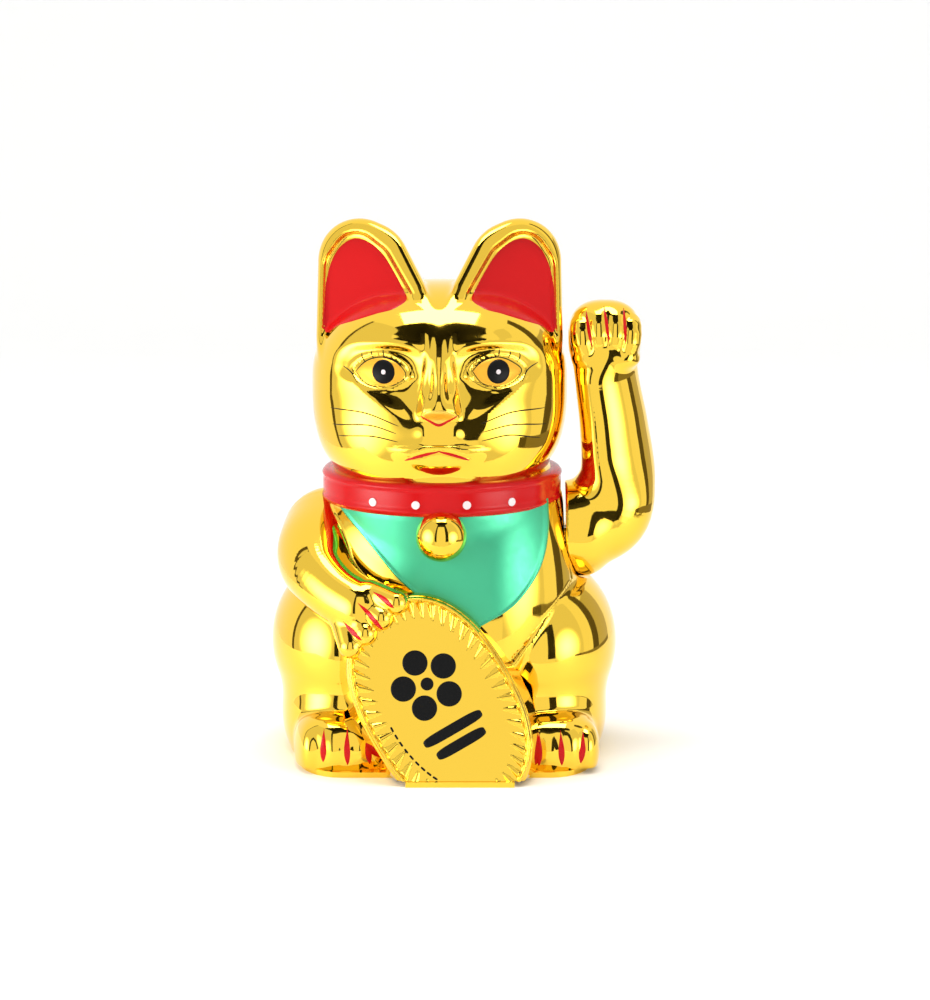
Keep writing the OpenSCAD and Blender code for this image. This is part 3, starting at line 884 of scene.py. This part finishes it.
def oval(middle, half, power=2.0, count=48):
    """A closed oval outline, squarer with a power over 2."""
    angle = np.linspace(0, 2 * math.pi, count, endpoint=False)
    across, up = np.cos(angle), np.sin(angle)
    shape = np.stack([across, up], 1)
    shape = np.sign(shape) * np.abs(shape) ** (2 / power)
    return np.array(middle) + shape * np.array(half)


EAR_PAINT = [
    (41.5, 157.2), (42.3, 168), (41.6, 176), (39.8, 182.6), (36.6, 188), (31, 191.2), (25.5, 190),
    (20.5, 186), (16, 179.5), (12.6, 173.5), (11.3, 170.9), (15, 168), (22.5, 165.6), (31, 162.6),
    (36.8, 160.3),
]
ears_paint = [filled(figure, side, 0.12, 24) for side in (smooth_outline(EAR_PAINT, 110),
                                                          smooth_outline(flipped(EAR_PAINT), 110))]
paint("ear_paint", FIGURE, red, ears_paint)

EYES = [-19.8, 21.2]
EYE_Z = 146.3
ALMONDS = [
    [
        (-30, 145.8), (-26, 149.8), (-19.8, 151.3), (-14.4, 149.2),
        (-11.8, 145), (-15.4, 142), (-20, 140.8), (-26.2, 141.8),
    ],
    [
        (11.9, 146.7), (15.2, 149.9), (21.1, 151.3), (26.2, 149.5),
        (29.6, 146.3), (26.5, 142.4), (21.1, 140.8), (15, 142.7),
    ],
]
paint("eye_amber", FIGURE, amber, [filled(figure, smooth_outline(shape), 0.1) for shape in ALMONDS])
paint("eye_black", FIGURE, black, [filled(figure, oval((x, EYE_Z), (4.3, 4.5)), 0.22) for x in EYES])
paint("eye_white", FIGURE, white,
      [filled(figure, oval((x, EYE_Z), (1.05, 1.1)), 0.34, 3) for x in EYES])

WHISKERS = [
    [(-39.2, 132), (-26.2, 131.6), (-14.4, 127.6)],
    [(-38.5, 126.2), (-23.3, 127.2), (-15.3, 124.9)],
    [(-36.2, 122.4), (-23.3, 123.4), (-14.7, 121.9)],
    [(15.1, 128.4), (25.1, 131.8), (38.2, 132.2)],
    [(15.7, 125.4), (25.1, 127.4), (38.6, 126.3)],
    [(15.2, 122.2), (25.1, 123.8), (36.4, 121.6)],
]
LASHES = [
    [(-27.8, 152.2), (-27.4, 150.6), (-26.3, 149.2)],
    [(-24.3, 153.2), (-24.1, 151.8), (-23.2, 150.6)],
    [(-20.0, 154.4), (-19.9, 152.4), (-19.3, 151.0)],
    [(21.6, 154.2), (21.5, 152.6), (20.9, 151.2)],
    [(25.5, 153.4), (25.5, 152.0), (24.8, 150.8)],
    [(29.0, 152.4), (29.0, 150.8), (28.0, 149.2)],
]
LINER = [
    [(-34.6, 147.4), (-31.6, 145.4), (-29.2, 142)],
    [(35.6, 148.6), (31.8, 146.2), (29.8, 142.4)],
]
EYE_LINES = [shape + shape[:1] for shape in ALMONDS]
hairs = [stroke(figure, path, 0.36, 0.14, 90, 0.05) for path in EYE_LINES]
hairs += [stroke(figure, path, 0.62, 0.08, 40, 0.35) for path in WHISKERS]
hairs += [stroke(figure, path, 0.5, 0.08, 14, 0.3) for path in LASHES + LINER]
paint("whiskers_and_lashes", FIGURE, black, hairs)

NOSE_PAD = [
    (-6.2, 131.6), (-4.4, 133.4), (0, 134.3), (4.4, 133.4),
    (6.3, 131.6), (3.2, 129.8), (0, 128.4), (-3.2, 129.8),
]
paint("nose_pad", FIGURE, satin_gold, [filled(figure, smooth_outline(NOSE_PAD), 0.1)])

NOSE_EDGE = [(-6.4, 131.6), (-3.2, 129.7), (0, 128.3), (3.2, 129.7), (6.5, 131.6)]
MOUTH_EDGES = [
    [(-12.2, 115.2), (-6, 117.3), (0.3, 119)],
    [(-0.3, 119), (5.6, 117.3), (10.8, 115.4)],
]
lines = [stroke(figure, path, 1.2, 0.16, 30, 0.4) for path in [NOSE_EDGE] + MOUTH_EDGES]
paint("nose_and_mouth_paint", FIGURE, red, lines)

CLAWS = [
    [(-23.6, 69.0), (-19.4, 66.8), (-16.0, 64.2)],
    [(-29.0, 65.4), (-24.0, 60.6), (-19.9, 55.9)],
    [(-34.4, 58.2), (-30.8, 55.0), (-27.6, 52.4)],
]
TOE_SLITS = [
    [(-41.8, 16.8), (-42.0, 11), (-42.1, 5.0)], [(-33.3, 17.3), (-33.4, 11), (-33.2, 4.0)],
    [(-26.3, 15.0), (-25.9, 10), (-25.2, 4.0)], [(36.1, 15.7), (36.2, 10), (36.1, 3.6)],
    [(43.9, 16.3), (44.2, 10), (44.4, 3.8)], [(52.1, 15.7), (51.9, 10), (51.3, 4.2)],
]
slits = [stroke(figure, path, 2.2, 0.1, 30, 0.7, 1.3) for path in CLAWS]
slits += [stroke(figure, path, 2.6, 0.1, 30, 0.7, 1.5) for path in TOE_SLITS]
paint("claw_paint", FIGURE, red, slits)

PAW_SLITS = [
    [(53.5, 165.0), (54.1, 160), (55.5, 152.4)], [(60.0, 166.8), (60.9, 160), (61.7, 154.0)],
    [(67.2, 166.0), (67.5, 160), (67.7, 153.4)],
]
paint("paw_claw_paint", ARM, red,
      [stroke(raised_arm, path, 1.4, 0.1, 24, 0.6) for path in PAW_SLITS])


# ---------------------------------------------------------------- the coin's ornament
# A plum blossom over two bars, laid out in the coin's own across and along directions.

def on_coin(flat, lift):
    """Points over the coin's face, from its across and along directions."""
    flat = np.asarray(flat, float)
    return coin_place(flat[:, 0], flat[:, 1], coin_relief(flat[:, 0], flat[:, 1]) + lift)


def coin_patch(outline, lift=0.45, rings=8):
    """A raised black shape on the coin, with a wall down to its face."""
    outline = np.array(outline, float)
    middle = outline.mean(0)
    count = len(outline)
    loops = [on_coin(outline, -0.3)]
    for ring in range(rings):
        share = 1 - ring / rings
        flat = middle + (outline - middle) * (share if ring else 0.97)
        loops.append(on_coin(flat, lift))
    loops.append(on_coin([middle], lift))
    points = np.concatenate(loops)
    faces = []
    for j in range(count):
        k = (j + 1) % count
        for ring in range(rings):
            a, b = ring * count, (ring + 1) * count
            faces.append((a + j, a + k, b + k, b + j))
        faces.append((rings * count + j, rings * count + k, (rings + 1) * count))
    return points, faces


def blossom(middle, size):
    """Five petals and a heart."""
    shapes = []
    for petal in range(5):
        angle = math.pi / 2 + 2 * math.pi * petal / 5
        spot = (middle[0] + 0.62 * size * math.cos(angle), middle[1] + 0.62 * size * math.sin(angle))
        shapes.append(oval(spot, (0.33 * size, 0.33 * size), 2.0, 40))
    shapes.append(oval(middle, (0.17 * size, 0.17 * size), 2.0, 24))
    return shapes


def dashes(inset=8.2, count=9):
    """A row of dashes along the coin's lower left edge, down to the base."""
    wide, long = COIN_WIDE - inset, COIN_LONG - inset
    shapes = []
    for step in range(count):
        angle = math.radians(178 + 5.4 * step)
        spot = (wide * math.cos(angle), long * math.sin(angle))
        slope = math.atan2(long * math.cos(angle), -wide * math.sin(angle))
        turn = np.array([[math.cos(slope), math.sin(slope)], [-math.sin(slope), math.cos(slope)]])
        shapes.append(np.array(spot) + oval((0, 0), (1.0, 0.38), 4, 20) @ turn)
    return shapes


bars = [oval((0, -9.5), (12, 2), 4), oval((0, -15.5), (10, 2), 4)]
ornament = blossom((0, 9), 14) + bars + dashes()
paint("coin_ornament", FIGURE, black, [coin_patch(shape) for shape in ornament])


# ---------------------------------------------------------------- CAD parts that keep their shape
def finish_cad_parts():
    """Gives the parts inside and under the figure their procedural finishes."""
    finishes = {
        "gold_base": gold,
        "white_paint": white,
        "black_plastic": material("black_plastic", (0.02, 0.02, 0.022), 0.0, 0.45, specks=0.2, tint=0.3),
        "natural_plastic": material("natural_plastic", (0.78, 0.75, 0.68), 0.0, 0.5, specks=0.1,
                                    tint=0.08),
        "zinc_steel": material("zinc_steel", (0.66, 0.68, 0.7), 1.0, 0.28, specks=0.2, tint=0.15),
        "nickel_steel": material("nickel_steel", (0.72, 0.7, 0.64), 1.0, 0.2, specks=0.15, tint=0.1),
        "board_green": material("board_green", (0.02, 0.17, 0.07), 0.0, 0.35, coat=0.4, specks=0.15,
                                tint=0.35),
        "copper_wire": material("copper_wire", (0.85, 0.36, 0.16), 1.0, 0.3, specks=0.2, tint=0.2),
        "blue_sleeve": material("blue_sleeve", (0.03, 0.1, 0.42), 0.0, 0.35, specks=0.15, tint=0.2),
        "battery_wrap": material("battery_wrap", (0.1, 0.12, 0.15), 0.2, 0.3, specks=0.15, tint=0.25),
        "red_insulation": material("red_insulation", (0.6, 0.02, 0.02), 0.0, 0.4, specks=0.15, tint=0.2),
        "black_insulation": material("black_insulation", (0.015, 0.015, 0.015), 0.0, 0.45,
                                     specks=0.15, tint=0.3),
        "iron_weight": material("iron_weight", (0.3, 0.29, 0.28), 0.9, 0.5, specks=0.3, tint=0.4),
        "ferrite_magnet": material("ferrite_magnet", (0.05, 0.05, 0.055), 0.3, 0.55, specks=0.25, tint=0.4),
    }
    for part in frame["record"]["subparts"]:
        finish = finishes.get(part["material_slot"])
        if finish:
            mesh = frame["nodes"][part["node"]].data
            mesh.materials.clear()
            mesh.materials.append(finish)


finish_cad_parts()

# ---------------------------------------------------------------- studio

def stage_sheet(name, corners, mat):
    """A flat sheet with four corners that is part of the studio."""
    mesh = bpy.data.meshes.new(name)
    mesh.from_pydata(corners, [], [(0, 1, 2, 3)])
    sheet = bpy.data.objects.new(name, mesh)
    bpy.context.scene.collection.objects.link(sheet)
    sheet.data.materials.append(mat)
    return sheet


def glow(name, colour, strength, hot=0.0, spot=(0, 0, 0), size=0.3):
    """A lit diffuser: even, with a brighter patch of the given strength around spot."""
    mat = bpy.data.materials.new(name)
    mat.use_nodes = True
    nodes = mat.node_tree.nodes
    links = mat.node_tree.links
    nodes.remove(nodes["Principled BSDF"])
    light = nodes.new("ShaderNodeEmission")
    light.inputs["Color"].default_value = (*colour, 1)
    light.inputs["Strength"].default_value = strength
    links.new(light.outputs["Emission"], nodes["Material Output"].inputs["Surface"])
    if hot:
        where = nodes.new("ShaderNodeTexCoord")
        shift = nodes.new("ShaderNodeMapping")
        shift.vector_type = "TEXTURE"
        shift.inputs["Location"].default_value = spot
        shift.inputs["Scale"].default_value = (size, size, size)
        ball = nodes.new("ShaderNodeTexGradient")
        ball.gradient_type = "SPHERICAL"
        spread = nodes.new("ShaderNodeMapRange")
        spread.interpolation_type = "SMOOTHSTEP"
        spread.inputs["To Min"].default_value = strength
        spread.inputs["To Max"].default_value = hot
        links.new(where.outputs["Object"], shift.inputs["Vector"])
        links.new(shift.outputs["Vector"], ball.inputs["Vector"])
        links.new(ball.outputs["Fac"], spread.inputs["Value"])
        links.new(spread.outputs["Result"], light.inputs["Strength"])
    return mat


def card(name, corners, mat):
    """A board of the light tent, which the camera looks through."""
    sheet = stage_sheet(name, corners, mat)
    sheet.visible_camera = False
    return sheet


def upright(x1, y1, x2, y2, bottom, top):
    """Corners of an upright sheet over a line on the floor."""
    return [(x1, y1, bottom), (x2, y2, bottom), (x2, y2, top), (x1, y1, top)]


def level(x1, y1, x2, y2, height):
    """Corners of a level sheet."""
    return [(x1, y1, height), (x2, y1, height), (x2, y2, height), (x1, y2, height)]


# The plating mirrors a light tent. Its front is a bright panel between two dark legs, and left
# and right of it stand diffusers with a hot spot. Reflections skip the big floor: they show the
# small table under the figure and, past its edges, the lower ends of the cards.
TENT_FRONT = -0.5
TENT_TOP = 1.05
TENT_FOOT = -0.6
LEG_FOOT = -0.04
LOW_FOOT, LOW_TOP = -0.16, -0.02
PANEL_TOP = 0.7
PANEL_LEFT, PANEL_RIGHT = -0.17, 0.16
FRONT_LEFT, FRONT_RIGHT = -0.25, 0.3
TABLE_FRONT = -0.17
TABLE_SIDE = 0.3
TABLE_HEIGHT = 0.00005
paper = material("stage_paper", (0.9, 0.9, 0.89), 0.0, 0.6, tint=0.01)
black_card = material("stage_black", (0.006, 0.005, 0.004), 0.0, 0.9)
even_glow = glow("even_glow", (1, 1, 1), 1.08)
edge_glow = glow("edge_glow", (1, 0.86, 0.6), 0.12)
back_glow = glow("back_glow", (1, 0.95, 0.85), 0.6)
low_glow = glow("low_glow", (1, 0.9, 0.7), 0.26)
left_glow = glow("left_glow", (1, 1, 1), 0.9, 9.0, (-0.44, -0.25, 0.1), 0.3)
right_glow = glow("right_glow", (1, 1, 1), 0.9, 7.0, (0.46, -0.36, 0.1), 0.28)
top_glow = glow("top_glow", (1, 1, 1), 10.0)



def front_card(name, left, right, bottom, top, mat):
    """A card in the tent's front."""
    card(name, upright(left, TENT_FRONT, right, TENT_FRONT, bottom, top), mat)


front_card("front_panel", PANEL_LEFT, PANEL_RIGHT, LEG_FOOT, PANEL_TOP, even_glow)
front_card("front_skirt", FRONT_LEFT, FRONT_RIGHT, TENT_FOOT, LEG_FOOT, even_glow)
front_card("front_valance", FRONT_LEFT, FRONT_RIGHT, PANEL_TOP, TENT_TOP, black_card)
front_card("right_leg", PANEL_RIGHT, FRONT_RIGHT, LEG_FOOT, PANEL_TOP, black_card)
front_card("left_leg", FRONT_LEFT, PANEL_LEFT, LEG_FOOT, PANEL_TOP, black_card)
card("left_diffuser", upright(FRONT_LEFT, TENT_FRONT, -0.6, 0.1, TENT_FOOT, TENT_TOP), left_glow)
card("left_edge", upright(-0.6, 0.1, -0.62, 0.15, TENT_FOOT, TENT_TOP), edge_glow)
card("right_diffuser", upright(FRONT_RIGHT, TENT_FRONT, 0.65, -0.1, TENT_FOOT, TENT_TOP), right_glow)
card("right_side", upright(0.65, -0.1, 0.64, 0.1, TENT_FOOT, TENT_TOP), even_glow)
card("right_edge", upright(0.64, 0.1, 0.61, 0.22, TENT_FOOT, TENT_TOP), edge_glow)
card("right_back", upright(0.61, 0.22, 0.56, 0.5, TENT_FOOT, 0.5), back_glow)
card("low_gap", upright(0.52, -0.24, 0.57, -0.14, LOW_FOOT, LOW_TOP), edge_glow)
card("low_side", upright(0.57, -0.14, 0.56, 0.5, LOW_FOOT, LOW_TOP), low_glow)
card("arch", level(-0.42, -0.5, 0.42, -0.24, TENT_TOP), black_card)
card("overhead_box", level(-0.28, -0.22, 0.28, 0.1, TENT_TOP), top_glow)


def backdrop():
    """A pale floor that runs back and curves up into a wall, with the table on it."""
    radius, back, wide, tall = 0.6, 1.2, 3.0, 3.0
    profile = [(TENT_FRONT, 0), (back, 0)]
    for step in range(1, 13):
        angle = math.pi / 2 * step / 12
        profile.append((back + radius * math.sin(angle), radius * (1 - math.cos(angle))))
    profile.append((back + radius, tall))
    corners = [(x, y, z) for y, z in profile for x in (-wide, wide)]
    faces = [(2 * i, 2 * i + 1, 2 * i + 3, 2 * i + 2) for i in range(len(profile) - 1)]
    mesh = bpy.data.meshes.new("floor")
    mesh.from_pydata(corners, [], faces)
    mesh.polygons.foreach_set("use_smooth", [True] * len(mesh.polygons))
    floor = bpy.data.objects.new("floor", mesh)
    bpy.context.scene.collection.objects.link(floor)
    floor.data.materials.append(paper)
    floor.visible_glossy = False
    stage_sheet("table", level(-TABLE_SIDE, TABLE_FRONT, TABLE_SIDE, back, TABLE_HEIGHT), paper)


backdrop()
world = bpy.data.worlds.new("studio")
bpy.context.scene.world = world
world.use_nodes = True
world.node_tree.nodes["Background"].inputs["Color"].default_value = (1, 1, 1, 1)
world.node_tree.nodes["Background"].inputs["Strength"].default_value = 1.1

# ---------------------------------------------------------------- camera
CAMERA_DISTANCE = 1.15
CAMERA_ELEVATION = math.radians(10)
FRAME_HEIGHT = 0.372
aim = Vector((0.0093, 0, 0.0933))
camera_data = bpy.data.cameras.new("camera")
camera_data.sensor_fit = "VERTICAL"
camera_data.sensor_height = 24
camera_data.lens = 24 * CAMERA_DISTANCE / FRAME_HEIGHT
camera = bpy.data.objects.new("camera", camera_data)
bpy.context.scene.collection.objects.link(camera)
back_off = Vector((0, -math.cos(CAMERA_ELEVATION), math.sin(CAMERA_ELEVATION)))
camera.location = aim + CAMERA_DISTANCE * back_off
camera.rotation_euler = (-back_off).to_track_quat("-Z", "Y").to_euler()
bpy.context.scene.camera = camera
bpy.context.scene.view_settings.view_transform = "Standard"
